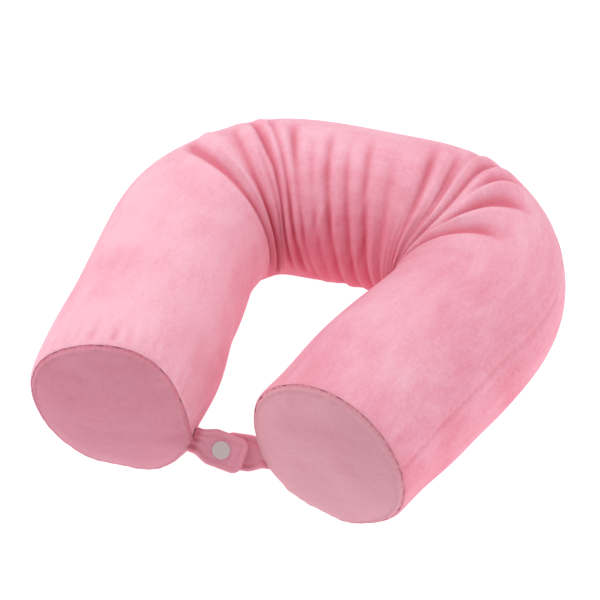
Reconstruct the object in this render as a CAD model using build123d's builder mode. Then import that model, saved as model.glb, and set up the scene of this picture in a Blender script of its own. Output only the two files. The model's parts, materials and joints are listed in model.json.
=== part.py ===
from build123d import *
import os
from math import cos, radians, sin, sqrt

# Twist neck pillow: a memory foam roll in a velour cover, bent round a chain of ball links.
# Millimetres, +Z up. The origin is under the middle of the pillow, on the surface it lies on.
# The roll is described from its left end to its right end, seen from the open side of the U.

os.makedirs("parts", exist_ok=True)

# ---- the roll ----
ROLL_RADIUS = 55.0            # outside of the cover
ROLL_SINK = 1.0               # the roll flattens by this much where it lies
COVER_THICKNESS = 2.0
END_CROWN = 9.0               # how far each round end stands out at its middle
PITCH = 40.0                  # from one ball to the next
LINK_COUNT = 15
ARM_LINKS = 3                 # links in each straight arm
# Turn of the roll at each ball between two links, in degrees, from the left end.
REST_BEND = (0, 0, 0, 20, 33, 33, 12, 10, 26, 34, 34, 0, 0, 0)
MITRE_GAP = 0.2               # between two soft lengths that meet at a bend

# ---- the ball links ----
BALL_RADIUS = 9.5
SOCKET_CLEARANCE = 0.1
SOCKET_RADIUS = 13.0
SOCKET_LIP = 3.5              # how far the socket reaches past the ball's centre
SOCKET_SLOT = 1.6
NECK_RADIUS = 4.5
COLLAR_RADIUS = 11.0
COLLAR_START = 17.0
COLLAR_THICKNESS = 3.0
PLATE_RADIUS = 24.0           # end plate that carries the foam
PLATE_THICKNESS = 4.0
PLATE_SETBACK = 10.0          # from the end of the roll
BORE_RADIUS = 15.0
BORE_EASE = 0.3

# ---- the two fastening tabs ----
TAB_WIDTH = 24.0
TAB_THICKNESS = 2.6
TAB_TIP_RADIUS = 7.0
LEFT_TAB_LENGTH = 34.0
RIGHT_TAB_LENGTH = 30.0
LEFT_TAB_ANGLE = 25.0         # below the roll's axis, where the left tab is sewn
RIGHT_TAB_ANGLE = 34.0
TAB_TILT = 45.0               # the tabs face forwards and up
TAB_ROOT_GAP = 5.0            # bare stretch between the rim's seam and a tab

# ---- the press fastener ----
SNAP_RADIUS = 6.0
SNAP_CAP_HEIGHT = 1.4
SNAP_INSET = 16.0             # from the tip of the left tab
SHANK_RADIUS = 1.6
SOCKET_HEIGHT = 1.6
SOCKET_MOUTH_RADIUS = 2.3
SOCKET_MOUTH_DEPTH = 1.2
STUD_BASE_HEIGHT = 0.6
STUD_RADIUS = 2.0
STUD_HEIGHT = 1.2
SNAP_GAP = 0.3                # the stud stands this far off the socket
TAB_SPACING = SOCKET_HEIGHT + STUD_BASE_HEIGHT + STUD_HEIGHT + SNAP_GAP

# ---- the zip on the outside of the left arm ----
ZIP_LENGTH = 100.0
ZIP_END_MARGIN = 9.0          # from the round end's seam
ZIP_ANGLE = 5.0               # above the roll's axis
ZIP_SLOT_WIDTH = 8.0
TAPE_WIDTH = 9.0
TAPE_THICKNESS = 0.6
TAPE_DEPTH = 1.0              # top of the tapes below the inside of the cover
COIL_WIDTH = 1.5
COIL_HEIGHT = 1.6
COIL_GAP = 0.3
STOP_LENGTH = 2.5
SLIDER_LENGTH = 9.0
SLIDER_WIDTH = 6.0
SLIDER_THICKNESS = 1.2
SLIDER_CHEEK = 1.0
SLIDER_GAP = 0.25
BRIDGE_BAR = 1.0
BRIDGE_LENGTH = 5.0
BRIDGE_OPENING = 1.6
PULL_LENGTH = 20.0
PULL_WIDTH = 5.0
PULL_THICKNESS = 1.2
PULL_WINDOW_LENGTH = 5.0
PULL_WINDOW_WIDTH = 2.0

UP = Vector(0, 0, 1)
HEIGHT = ROLL_RADIUS - ROLL_SINK
TOTAL_BEND = sum(REST_BEND)


def direction(heading):
    """Unit vector in the floor plane, at an angle from +X."""
    return Vector(cos(radians(heading)), sin(radians(heading)), 0)


# ---- layout: the balls lie on a chain of equal steps that turns right at each ball ----
headings = [TOTAL_BEND / 2]
for bend in REST_BEND:
    headings.append(headings[-1] - bend)
chain = [Vector(0, 0, 0)]
for heading in headings:
    chain.append(chain[-1] + direction(heading) * PITCH)

# Each outside corner of the mitred cover, and the middle of each round end, bound the pillow.
corners = []
for place, before, after in zip(chain[1:-1], headings[:-1], headings[1:]):
    reach = ROLL_RADIUS / cos(radians((before - after) / 2))
    corners.append(place + direction((before + after) / 2 + 90) * reach)
for place, heading in ((chain[0], headings[0]), (chain[-1], headings[-1])):
    corners.append(place + direction(heading + 90) * ROLL_RADIUS)
cap_sphere = (ROLL_RADIUS**2 + END_CROWN**2) / (2 * END_CROWN)
cap_depth = cap_sphere - END_CROWN - COVER_THICKNESS
front = min(
    (chain[0] + direction(headings[0]) * cap_depth).Y - cap_sphere,
    (chain[-1] - direction(headings[-1]) * cap_depth).Y - cap_sphere,
)
middle_x = (min(c.X for c in corners) + max(c.X for c in corners)) / 2
middle_y = (front + max(c.Y for c in corners)) / 2
balls = [place - Vector(middle_x, middle_y, -HEIGHT) for place in chain]


def link_plane(index):
    """Plane through a link's left ball: X along the link, Y across it to the left, Z up."""
    return Plane(origin=balls[index], x_dir=direction(headings[index]), z_dir=UP)


def section_plane(index):
    """Plane across the roll at a link's left ball, facing along the link."""
    return Plane(origin=balls[index], z_dir=direction(headings[index]))


def mitre_plane(index, side):
    """Plane that halves the bend at a ball, half the gap away from it towards one side."""
    heading = (headings[index - 1] + headings[index]) / 2
    across = direction(heading)
    return Plane(origin=balls[index] + across * (side * MITRE_GAP / 2), z_dir=across * side)


def length_name(first, last):
    """Name of a soft length, after the links that it surrounds."""
    if first == 0:
        return "left_arm"
    if last == LINK_COUNT - 1:
        return "right_arm"
    return f"bend_{first + 1:02d}"


# The soft lengths: an arm at each end, and one for each link between them.
lengths = [(0, ARM_LINKS - 1)]
for index in range(ARM_LINKS, LINK_COUNT - ARM_LINKS):
    lengths.append((index, index))
lengths.append((LINK_COUNT - ARM_LINKS, LINK_COUNT - 1))

pieces = []


def finish(piece, label):
    """Label a finished piece and keep it for export."""
    piece.part.label = label
    pieces.append(piece.part)


# ---- core: fifteen plastic links, each with a ball at its left and a socket at its right ----
cavity_radius = BALL_RADIUS + SOCKET_CLEARANCE
lip_inner = sqrt(cavity_radius**2 - SOCKET_LIP**2)
lip_outer = sqrt(SOCKET_RADIUS**2 - SOCKET_LIP**2)
neck_start = sqrt(BALL_RADIUS**2 - NECK_RADIUS**2)
cup_start = PITCH - sqrt(SOCKET_RADIUS**2 - NECK_RADIUS**2)
lip_end = PITCH + SOCKET_LIP
plate_inside = PLATE_SETBACK + PLATE_THICKNESS

for index in range(LINK_COUNT):
    has_ball = index > 0
    has_socket = index < LINK_COUNT - 1
    with BuildPart() as link:
        # half of the link's outline, from its left end to its right, turned about its axis
        with BuildSketch(link_plane(index)):
            with BuildLine():
                if has_ball:
                    left = (-BALL_RADIUS, 0)
                    ThreePointArc(left, (0, BALL_RADIUS), (neck_start, NECK_RADIUS))
                    Line((neck_start, NECK_RADIUS), (COLLAR_START, NECK_RADIUS))
                else:
                    left = (PLATE_SETBACK, 0)
                    Polyline(
                        left,
                        (PLATE_SETBACK, PLATE_RADIUS),
                        (plate_inside, PLATE_RADIUS),
                        (plate_inside, NECK_RADIUS),
                        (COLLAR_START, NECK_RADIUS),
                    )
                Polyline(
                    (COLLAR_START, NECK_RADIUS),
                    (COLLAR_START, COLLAR_RADIUS),
                    (COLLAR_START + COLLAR_THICKNESS, COLLAR_RADIUS),
                    (COLLAR_START + COLLAR_THICKNESS, NECK_RADIUS),
                )
                if has_socket:
                    Line((COLLAR_START + COLLAR_THICKNESS, NECK_RADIUS), (cup_start, NECK_RADIUS))
                    ThreePointArc(
                        (cup_start, NECK_RADIUS), (PITCH, SOCKET_RADIUS), (lip_end, lip_outer)
                    )
                    Line((lip_end, lip_outer), (lip_end, lip_inner))
                    right = (PITCH - cavity_radius, 0)
                    ThreePointArc((lip_end, lip_inner), (PITCH, cavity_radius), right)
                else:
                    right = (PITCH - PLATE_SETBACK, 0)
                    Polyline(
                        (COLLAR_START + COLLAR_THICKNESS, NECK_RADIUS),
                        (PITCH - plate_inside, NECK_RADIUS),
                        (PITCH - plate_inside, PLATE_RADIUS),
                        (PITCH - PLATE_SETBACK, PLATE_RADIUS),
                        right,
                    )
                Line(right, left)
            make_face()
        revolve(axis=Axis(balls[index], direction(headings[index])))
        if has_socket:
            # two crossed slits let the socket spring over the ball
            with BuildSketch(section_plane(index).offset(PITCH - SOCKET_LIP)):
                Rectangle(2 * SOCKET_RADIUS + 2, SOCKET_SLOT)
                Rectangle(SOCKET_SLOT, 2 * SOCKET_RADIUS + 2)
            extrude(amount=2 * SOCKET_LIP + 1, mode=Mode.SUBTRACT)
    if not has_ball:
        finish(link, "core_end_left")
    elif not has_socket:
        finish(link, "core_end_right")
    else:
        finish(link, f"core_link_{index + 1:02d}")

# ---- foam and cover: mitred lengths of one roll and of one sleeve ----
foam_radius = ROLL_RADIUS - COVER_THICKNESS
stretch = 2 * ROLL_RADIUS
zip_out = direction(headings[0] + 90) * cos(radians(ZIP_ANGLE)) + UP * sin(radians(ZIP_ANGLE))
zip_centre = balls[0] + direction(headings[0]) * (ZIP_END_MARGIN + ZIP_LENGTH / 2)


def zip_plane(height):
    """Plane facing out of the left arm at the zip, X towards the round end, off the roll's axis."""
    return Plane(
        origin=zip_centre + zip_out * height,
        x_dir=-direction(headings[0]),
        z_dir=zip_out,
    )


tape_bottom = foam_radius - TAPE_DEPTH - TAPE_THICKNESS

for first, last in lengths:
    run = PITCH * (last - first + 1)
    is_left = first == 0
    is_right = last == LINK_COUNT - 1
    with BuildPart() as foam:
        with BuildSketch(section_plane(first).offset(0 if is_left else -stretch)):
            Circle(foam_radius)
        extrude(amount=run + (0 if is_left else stretch) + (0 if is_right else stretch))
        if is_left or is_right:
            # the crowned end, a flat cap of a large ball
            end_plane = section_plane(last).offset(PITCH) if is_right else section_plane(first)
            inner_sphere = cap_sphere - 0.1
            end_out = direction(headings[last]) if is_right else -direction(headings[first])
            with BuildSketch(Plane(origin=end_plane.origin, x_dir=end_out, z_dir=UP)):
                rim = sqrt(inner_sphere**2 - foam_radius**2) - (cap_sphere - END_CROWN)
                with BuildLine():
                    Polyline((0, 0), (0, foam_radius), (rim, foam_radius))
                    RadiusArc((rim, foam_radius), (END_CROWN - 0.1, 0), inner_sphere)
                    Line((END_CROWN - 0.1, 0), (0, 0))
                make_face()
            revolve(axis=Axis(end_plane.origin, end_out))
        if not is_left:
            split(bisect_by=mitre_plane(first, 1), keep=Keep.TOP)
        if not is_right:
            split(bisect_by=mitre_plane(last + 1, -1), keep=Keep.TOP)
        # the bore for the core, with a pocket round each end plate
        bore_start = PLATE_SETBACK - BORE_EASE if is_left else -stretch
        bore_end = run - PLATE_SETBACK + BORE_EASE if is_right else run + stretch
        with BuildSketch(section_plane(first).offset(bore_start)):
            Circle(BORE_RADIUS)
        extrude(amount=bore_end - bore_start, mode=Mode.SUBTRACT)
        if is_left or is_right:
            pocket = PLATE_THICKNESS + 2 * BORE_EASE
            pocket_start = bore_start if is_left else bore_end - pocket
            with BuildSketch(section_plane(first).offset(pocket_start)):
                Circle(PLATE_RADIUS + BORE_EASE)
            extrude(amount=pocket, mode=Mode.SUBTRACT)
        if is_left:
            # a shallow bed under the zip's tapes
            with BuildSketch(zip_plane(tape_bottom - BORE_EASE)):
                Rectangle(ZIP_LENGTH + 2, 2 * TAPE_WIDTH + 2)
            extrude(amount=COVER_THICKNESS + 2, mode=Mode.SUBTRACT)
        split(bisect_by=Plane.XY.offset(COVER_THICKNESS / 2), keep=Keep.TOP)
    finish(foam, "foam_" + length_name(first, last))

    with BuildPart() as cover:
        with BuildSketch(section_plane(first).offset(0 if is_left else -stretch)):
            Circle(ROLL_RADIUS)
            Circle(foam_radius, mode=Mode.SUBTRACT)
        extrude(amount=run + (0 if is_left else stretch) + (0 if is_right else stretch))
        if not is_left:
            split(bisect_by=mitre_plane(first, 1), keep=Keep.TOP)
        if not is_right:
            split(bisect_by=mitre_plane(last + 1, -1), keep=Keep.TOP)
        if is_left:
            # the opening that the zip closes
            with BuildSketch(zip_plane(ROLL_RADIUS - 5)):
                SlotOverall(ZIP_LENGTH, ZIP_SLOT_WIDTH)
            extrude(amount=10, mode=Mode.SUBTRACT)
        split(bisect_by=Plane.XY, keep=Keep.TOP)
    finish(cover, "cover_" + length_name(first, last))

# ---- the round ends of the cover, sewn to the sleeve along their rims ----
for name, index, out in (
    ("end_disc_left", 0, -direction(headings[0])),
    ("end_disc_right", LINK_COUNT, direction(headings[-1])),
):
    with BuildPart() as disc:
        with BuildSketch(Plane(origin=balls[index], x_dir=out, z_dir=UP)):
            with BuildLine():
                RadiusArc((0, ROLL_RADIUS), (END_CROWN, 0), cap_sphere)
                Line((END_CROWN, 0), (END_CROWN + COVER_THICKNESS, 0))
                RadiusArc((END_CROWN + COVER_THICKNESS, 0), (COVER_THICKNESS, ROLL_RADIUS), -cap_sphere)
                Line((COVER_THICKNESS, ROLL_RADIUS), (0, ROLL_RADIUS))
            make_face()
        revolve(axis=Axis(balls[index], out))
        split(bisect_by=Plane.XY, keep=Keep.TOP)
    finish(disc, name)

# ---- the two tabs, sewn into the rims of the round ends, and the press fastener ----


def tab_root(rim, heading, angle):
    """Where a tab meets the rim's seam, at an angle below the axis on the inner side."""
    outward = direction(heading - 90) * cos(radians(angle)) - UP * sin(radians(angle))
    return rim + outward * ROLL_RADIUS


left_root = tab_root(balls[0], headings[0], LEFT_TAB_ANGLE)
right_root = tab_root(balls[-1], headings[-1], RIGHT_TAB_ANGLE)
tab_along = (right_root - left_root).normalized()
tab_front = tab_along.cross(UP).normalized()
tab_face = tab_front * cos(radians(TAB_TILT)) + tab_front.cross(tab_along) * sin(radians(TAB_TILT))
root_span = (right_root - left_root).length
snap_place = LEFT_TAB_LENGTH - SNAP_INSET


def tab_plane(along, height, facing=1):
    """Plane parallel to the tabs, at a distance from the left root, facing out or back."""
    return Plane(
        origin=left_root + tab_along * along + tab_face * height,
        x_dir=tab_along,
        z_dir=tab_face * facing,
    )


def tab_outline(length):
    """A strip from the sewn root to a rounded tip, drawn along +X."""
    with BuildSketch(mode=Mode.PRIVATE) as outline:
        with Locations((length / 2, 0)):
            Rectangle(length, TAB_WIDTH)
        tip = outline.vertices().group_by(Axis.X)[-1]
        fillet(tip, TAB_TIP_RADIUS)
    return outline.sketch


back_tab_height = -TAB_SPACING - TAB_THICKNESS
with BuildPart() as tab:
    with BuildSketch(tab_plane(TAB_ROOT_GAP, 0)):
        add(tab_outline(LEFT_TAB_LENGTH - TAB_ROOT_GAP))
    extrude(amount=TAB_THICKNESS)
    with BuildSketch(tab_plane(snap_place, 0)):
        Circle(SHANK_RADIUS)
    extrude(amount=TAB_THICKNESS, mode=Mode.SUBTRACT)
finish(tab, "tab_left")

with BuildPart() as tab:
    with BuildSketch(tab_plane(root_span - TAB_ROOT_GAP, back_tab_height)):
        add(tab_outline(RIGHT_TAB_LENGTH - TAB_ROOT_GAP).mirror(Plane.YZ))
    extrude(amount=TAB_THICKNESS)
    with BuildSketch(tab_plane(snap_place, back_tab_height)):
        Circle(SHANK_RADIUS)
    extrude(amount=TAB_THICKNESS, mode=Mode.SUBTRACT)
finish(tab, "tab_right")

with BuildPart() as cap:
    with BuildSketch(tab_plane(snap_place, TAB_THICKNESS)):
        Circle(SNAP_RADIUS)
    extrude(amount=SNAP_CAP_HEIGHT)
    fillet(cap.edges().filter_by(GeomType.CIRCLE).sort_by(Axis(left_root, tab_face))[-1], 1.0)
    with BuildSketch(tab_plane(snap_place, TAB_THICKNESS, -1)):
        Circle(SHANK_RADIUS)
    extrude(amount=TAB_THICKNESS)
finish(cap, "snap_cap")

with BuildPart() as socket:
    with BuildSketch(tab_plane(snap_place, 0, -1)):
        Circle(SNAP_RADIUS - 0.5)
    extrude(amount=SOCKET_HEIGHT)
    with BuildSketch(tab_plane(snap_place, SOCKET_MOUTH_DEPTH - SOCKET_HEIGHT, -1)):
        Circle(SOCKET_MOUTH_RADIUS)
    extrude(amount=SOCKET_MOUTH_DEPTH, mode=Mode.SUBTRACT)
finish(socket, "snap_socket")

with BuildPart() as stud:
    with BuildSketch(tab_plane(snap_place, -TAB_SPACING)):
        Circle(SNAP_RADIUS - 0.5)
    extrude(amount=STUD_BASE_HEIGHT)
    with BuildSketch(tab_plane(snap_place, -TAB_SPACING + STUD_BASE_HEIGHT)):
        Circle(STUD_RADIUS)
    extrude(amount=STUD_HEIGHT)
finish(stud, "snap_stud")

with BuildPart() as post:
    with BuildSketch(tab_plane(snap_place, back_tab_height, -1)):
        Circle(SNAP_RADIUS)
    extrude(amount=SNAP_CAP_HEIGHT)
    with BuildSketch(tab_plane(snap_place, back_tab_height)):
        Circle(SHANK_RADIUS)
    extrude(amount=TAB_THICKNESS)
finish(post, "snap_post")

# ---- the zip: tapes inside the cover, coils in the slot, slider and pull outside ----
coil_offset = (COIL_GAP + COIL_WIDTH) / 2
coil_length = ZIP_LENGTH - ZIP_SLOT_WIDTH - 2 * STOP_LENGTH
coil_base = tape_bottom + TAPE_THICKNESS
for name, side in (("zip_tape_upper", 1), ("zip_tape_lower", -1)):
    with BuildPart() as tape:
        with BuildSketch(zip_plane(tape_bottom)):
            with Locations((0, side * (COIL_GAP + TAPE_WIDTH) / 2)):
                Rectangle(ZIP_LENGTH, TAPE_WIDTH)
        extrude(amount=TAPE_THICKNESS)
    finish(tape, name)
for name, side in (("zip_coil_upper", 1), ("zip_coil_lower", -1)):
    with BuildPart() as coil:
        with BuildSketch(zip_plane(coil_base)):
            with Locations((0, side * coil_offset)):
                Rectangle(coil_length, COIL_WIDTH)
        extrude(amount=COIL_HEIGHT)
    finish(coil, name)
with BuildPart() as stops:
    with BuildSketch(zip_plane(coil_base)):
        with GridLocations(coil_length + STOP_LENGTH, 0, 2, 1):
            Rectangle(STOP_LENGTH - 0.2, 2 * COIL_WIDTH + COIL_GAP)
    extrude(amount=COIL_HEIGHT)
finish(stops, "zip_stops")

slider_bottom = coil_base + COIL_HEIGHT + SLIDER_GAP
slider_top = slider_bottom + SLIDER_THICKNESS
slider_travel = coil_length - SLIDER_LENGTH
slider_along = slider_travel / 2
cheek_offset = COIL_WIDTH + COIL_GAP / 2 + SLIDER_GAP + SLIDER_CHEEK / 2
with BuildPart() as slider:
    with BuildSketch(zip_plane(slider_bottom)):
        with Locations((slider_along, 0)):
            RectangleRounded(SLIDER_LENGTH, SLIDER_WIDTH, 1.5)
    extrude(amount=SLIDER_THICKNESS)
    with BuildSketch(zip_plane(coil_base + SLIDER_GAP)):
        with Locations((slider_along, cheek_offset), (slider_along, -cheek_offset)):
            Rectangle(SLIDER_LENGTH - 3, SLIDER_CHEEK)
    extrude(amount=COIL_HEIGHT)
    with BuildSketch(zip_plane(slider_top)):
        with Locations((slider_along, 0)):
            with GridLocations(BRIDGE_LENGTH - BRIDGE_BAR, 0, 2, 1):
                Rectangle(BRIDGE_BAR, BRIDGE_BAR)
    extrude(amount=BRIDGE_OPENING)
    with BuildSketch(zip_plane(slider_top + BRIDGE_OPENING)):
        with Locations((slider_along, 0)):
            Rectangle(BRIDGE_LENGTH, BRIDGE_BAR)
    extrude(amount=BRIDGE_BAR)
finish(slider, "zip_slider")

pull_height = slider_top + BRIDGE_OPENING / 2
pull_pivot = zip_plane(pull_height).from_local_coords((slider_along, 0, 0))
zip_across = zip_plane(0).y_dir
with BuildPart() as pull:
    with BuildSketch(zip_plane(pull_height - PULL_THICKNESS / 2)):
        with Locations((slider_along - PULL_LENGTH / 2, 0)):
            Rectangle(PULL_LENGTH, PULL_WIDTH)
        with Locations((slider_along - PULL_WINDOW_LENGTH / 2, 0)):
            Rectangle(PULL_WINDOW_LENGTH, PULL_WINDOW_WIDTH, mode=Mode.SUBTRACT)
    extrude(amount=PULL_THICKNESS)
    with BuildSketch(Plane(origin=pull_pivot - zip_across * PULL_WIDTH / 2, z_dir=zip_across)):
        Circle(PULL_THICKNESS / 2)
    extrude(amount=PULL_WIDTH)
finish(pull, "zip_pull")

# ---- one STEP file for each piece ----
for piece in pieces:
    export_step(piece, f"parts/{piece.label}.step")
print(len(pieces), "pieces")
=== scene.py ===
# %% [markdown]
# # A twist neck pillow
# The pillow is a round foam roll in a velour cover, bent into a U and closed by two tabs with a
# press fastener. The hard frame, its joints and its sizes are loaded first, and everything soft is
# then built round it. Lengths are in metres.

import json
from math import cos, pi, radians, sin

import bpy
import numpy as np
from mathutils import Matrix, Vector

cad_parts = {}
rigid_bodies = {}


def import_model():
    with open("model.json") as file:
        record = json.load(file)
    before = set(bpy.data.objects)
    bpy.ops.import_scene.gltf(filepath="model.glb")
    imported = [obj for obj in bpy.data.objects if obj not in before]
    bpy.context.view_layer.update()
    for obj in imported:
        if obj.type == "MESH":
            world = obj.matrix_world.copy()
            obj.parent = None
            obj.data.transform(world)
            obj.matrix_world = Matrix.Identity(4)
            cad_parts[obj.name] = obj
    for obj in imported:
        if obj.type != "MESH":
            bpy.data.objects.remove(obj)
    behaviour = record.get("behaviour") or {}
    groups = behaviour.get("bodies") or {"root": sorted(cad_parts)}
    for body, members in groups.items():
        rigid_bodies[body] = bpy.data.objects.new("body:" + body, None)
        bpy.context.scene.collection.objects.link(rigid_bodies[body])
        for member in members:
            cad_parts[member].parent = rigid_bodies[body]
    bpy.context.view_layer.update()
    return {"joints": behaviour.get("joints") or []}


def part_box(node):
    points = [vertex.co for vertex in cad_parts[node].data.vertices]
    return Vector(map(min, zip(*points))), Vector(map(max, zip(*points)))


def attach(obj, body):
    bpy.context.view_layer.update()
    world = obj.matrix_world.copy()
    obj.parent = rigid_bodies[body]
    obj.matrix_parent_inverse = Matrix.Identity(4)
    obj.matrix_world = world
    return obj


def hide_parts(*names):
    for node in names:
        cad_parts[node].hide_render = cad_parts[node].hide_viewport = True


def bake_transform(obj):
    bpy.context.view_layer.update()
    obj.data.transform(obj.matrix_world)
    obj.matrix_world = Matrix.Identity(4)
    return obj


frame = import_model()
joints = {joint["name"]: joint for joint in frame["joints"]}
MM = 0.001

# %% [markdown]
# ## The camera, the light and the floor
# The pillow is seen from the front right, from well above it, with a long lens. A white floor and a
# white sky keep the shadows pale. One broad lamp, high on the left, gives the pile its bright top, and
# a weaker one from the right lifts the outside of the right arm.

# %% Camera
CAMERA_AZIMUTH = radians(24.06)
CAMERA_RISE = radians(44.92)
CAMERA_DISTANCE = 1.4437
LOOK_AT = Vector((-0.0031, -0.0027, 0.055))
LENS = 128.4
SENSOR_WIDTH = 36

level_part = cos(CAMERA_RISE)
back = Vector((sin(CAMERA_AZIMUTH) * level_part, -cos(CAMERA_AZIMUTH) * level_part, sin(CAMERA_RISE)))
camera = bpy.data.objects.new("camera", bpy.data.cameras.new("camera"))
camera.data.lens = LENS
camera.data.sensor_width = SENSOR_WIDTH
camera.location = LOOK_AT + back * CAMERA_DISTANCE
camera.rotation_euler = back.to_track_quat("Z", "Y").to_euler()
bpy.context.scene.collection.objects.link(camera)
bpy.context.scene.camera = camera
print("camera at", tuple(round(x, 3) for x in camera.location))


# %% Lamps and sky
SKY_STRENGTH = 0.55


def soft_lamp(name, place, size, power):
    """A square lamp that faces the middle of the pillow."""
    lamp = bpy.data.objects.new(name, bpy.data.lights.new(name, "AREA"))
    lamp.data.shape = "SQUARE"
    lamp.data.size = size
    lamp.data.energy = power
    lamp.location = place
    lamp.rotation_euler = (Vector(place) - LOOK_AT).to_track_quat("Z", "Y").to_euler()
    bpy.context.scene.collection.objects.link(lamp)


soft_lamp("lamp_overhead", (-0.62, 0.05, 1.1), 0.85, 8.5)
soft_lamp("lamp_right", (1.5, 0.35, 0.8), 0.9, 7.5)
sky = bpy.data.worlds.new("sky")
sky.use_nodes = True
sky.node_tree.nodes["Background"].inputs["Color"].default_value = (1, 1, 1, 1)
sky.node_tree.nodes["Background"].inputs["Strength"].default_value = SKY_STRENGTH
bpy.context.scene.world = sky
bpy.context.scene.view_settings.view_transform = "Standard"

# %% [markdown]
# ## Shaders written as sums
# A material is a few sums on noise and on places. `Number` wraps a socket so that the sums read as
# they would on paper, and `Shop` makes every other node from its type, settings and inputs.


# %% Shader helpers
class Number:
    """A shader socket that can be added, multiplied and compared."""

    def __init__(self, shop, socket):
        self.shop = shop
        self.socket = socket

    def join(self, operation, first, second):
        return self.shop.number("ShaderNodeMath", {"operation": operation}, {0: first, 1: second})

    def __add__(self, other):
        return self.join("ADD", self, other)

    def __sub__(self, other):
        return self.join("SUBTRACT", self, other)

    def __rsub__(self, other):
        return self.join("SUBTRACT", other, self)

    def __mul__(self, other):
        return self.join("MULTIPLY", self, other)

    def clamp(self):
        return self.shop.number("ShaderNodeClamp", {}, {"Value": self})

    __radd__ = __add__
    __rmul__ = __mul__


class Shop:
    """Makes the nodes of one material."""

    def __init__(self, name):
        self.material = bpy.data.materials.new(name)
        self.material.use_nodes = True
        self.tree = self.material.node_tree
        self.shader = self.tree.nodes["Principled BSDF"]

    def node(self, kind, settings=None, inputs=None):
        made = self.tree.nodes.new(kind)
        for key, value in (settings or {}).items():
            if key == "stops":
                self.set_stops(made.color_ramp, value)
            else:
                setattr(made, key, value)
        for key, value in (inputs or {}).items():
            self.plug(made.inputs[key], value)
        return made

    def set_stops(self, ramp, stops):
        while len(ramp.elements) < len(stops):
            ramp.elements.new(1)
        for element, (place, colour) in zip(ramp.elements, stops):
            element.position = place
            element.color = (*colour, 1)

    def plug(self, socket, value):
        if isinstance(value, Number):
            value = value.socket
        if isinstance(value, bpy.types.NodeSocket):
            self.tree.links.new(value, socket)
        elif hasattr(value, "__len__") and len(value) == 3 and len(socket.default_value) == 4:
            socket.default_value = (*value, 1)
        else:
            socket.default_value = value

    def number(self, kind, settings, inputs):
        return Number(self, self.node(kind, settings, inputs).outputs[0])

    def attribute(self, name, output="Vector"):
        return self.node("ShaderNodeAttribute", {"attribute_name": name}).outputs[output]

    def noise(self, place, scale, detail=2.0, roughness=0.5, stretch=(1, 1, 1)):
        """Noise on a place, as a number from about 0.3 to 0.7."""
        scaled = self.node("ShaderNodeMapping", {}, {"Vector": place, "Scale": stretch})
        inputs = {"Vector": scaled.outputs[0], "Scale": scale}
        inputs.update({"Detail": detail, "Roughness": roughness})
        return Number(self, self.node("ShaderNodeTexNoise", {}, inputs).outputs[0])

    def mix(self, factor, first, second):
        made = self.node("ShaderNodeMix", {"data_type": "RGBA"})
        self.plug(made.inputs[0], factor)
        self.plug(made.inputs[6], first)
        self.plug(made.inputs[7], second)
        return made.outputs[2]

    def bump(self, height, distance, strength=1.0, below=None):
        inputs = {"Height": height, "Distance": distance, "Strength": strength}
        if below is not None:
            inputs["Normal"] = below
        return self.node("ShaderNodeBump", {}, inputs).outputs[0]

    def finish(self, **sockets):
        for name, value in sockets.items():
            self.plug(self.shader.inputs[name.replace("_", " ")], value)
        return self.material


print("shader helpers:", Number.__name__, Shop.__name__)

# %% [markdown]
# ## Velour
# Short pile velour is dull and soft to look at: each tuft scatters light, tufts that lean another way
# show as paler or darker strokes, and the edges of the roll glow because the pile is seen from its
# side there. A rough base gives the first, four sizes of noise the second, and sheen the third. The
# `cloth` attribute holds each point's place on the flat, unbent sleeve, so the strokes follow the
# cloth round every bend. A second attribute holds painted shade, deep where the cloth folds in on
# itself. Painted light makes the colour paler towards the top of the roll and towards its left end.


# %% Velour material
RADIUS = 0.0553               # of the roll
MIDDLE = 0.3                  # place on the sleeve where the painted light towards the left end is neither pale nor deep
CLOUDS = 16                   # scales of the four noises, from broad to fine
STROKES = 75
SPECKS = 420
PILE = 1500


def velour(name, pale, deep, painted_shade_colour, sheen_colour, painted_top_light=0.0, painted_left_light=0.0):
    """Velour, painted paler up the roll and towards the left end, as painted light."""
    shop = Shop(name)
    place = shop.attribute("cloth")
    crease = Number(shop, shop.attribute("crease", "Fac"))
    clouds = shop.noise(place, CLOUDS, 2, 0.5)
    strokes = shop.noise(place, STROKES, 3, 0.6, (0.45, 1, 1))
    specks = shop.noise(place, SPECKS, 2, 0.6)
    pile = shop.noise(place, PILE, 2, 0.6)
    parts = shop.node("ShaderNodeSeparateXYZ", {}, {0: place}).outputs
    # painted light: the colour is paler up the roll and towards the left end
    painted_light = Number(shop, parts["Z"]) * (painted_top_light / RADIUS) + (MIDDLE - Number(shop, parts["X"])) * painted_left_light
    nap_and_painted_light = (clouds - 0.5) * 0.9 + (strokes - 0.5) * 0.8 + painted_light + 0.5
    nap_and_painted_light = nap_and_painted_light + (specks - 0.5) * 0.5 + (pile - 0.5) * 0.5
    cloth = shop.mix(nap_and_painted_light.clamp(), deep, pale)
    # painted shade: the colour turns darker and redder where the shade attribute is high
    colour = shop.mix((crease * 0.85).clamp(), cloth, painted_shade_colour)
    tufts = shop.bump(strokes * 0.5 + pile * 0.5, 0.0009, 0.75)
    tufts = shop.bump(specks, 0.0006, 0.7, tufts)
    material = shop.finish(
        Base_Color=colour,
        Roughness=(0.9 - (nap_and_painted_light - 0.5) * 0.12),
        Normal=tufts,
        Specular_IOR_Level=0.15,
        Sheen_Weight=0.32,
        Sheen_Roughness=0.45,
        Sheen_Tint=(*sheen_colour, 1),
    )
    print("velour:", name)
    return material


SLEEVE_PALE = (0.93, 0.50, 0.60)
SLEEVE_DEEP = (0.79, 0.20, 0.30)
# colour of the painted shade in folds, inside the bends, along seams and at stitches
PAINTED_SHADE_COLOUR = (0.64, 0.075, 0.135)
TAB_PALE = (0.86, 0.40, 0.49)
TAB_DEEP = (0.76, 0.27, 0.36)
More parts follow.
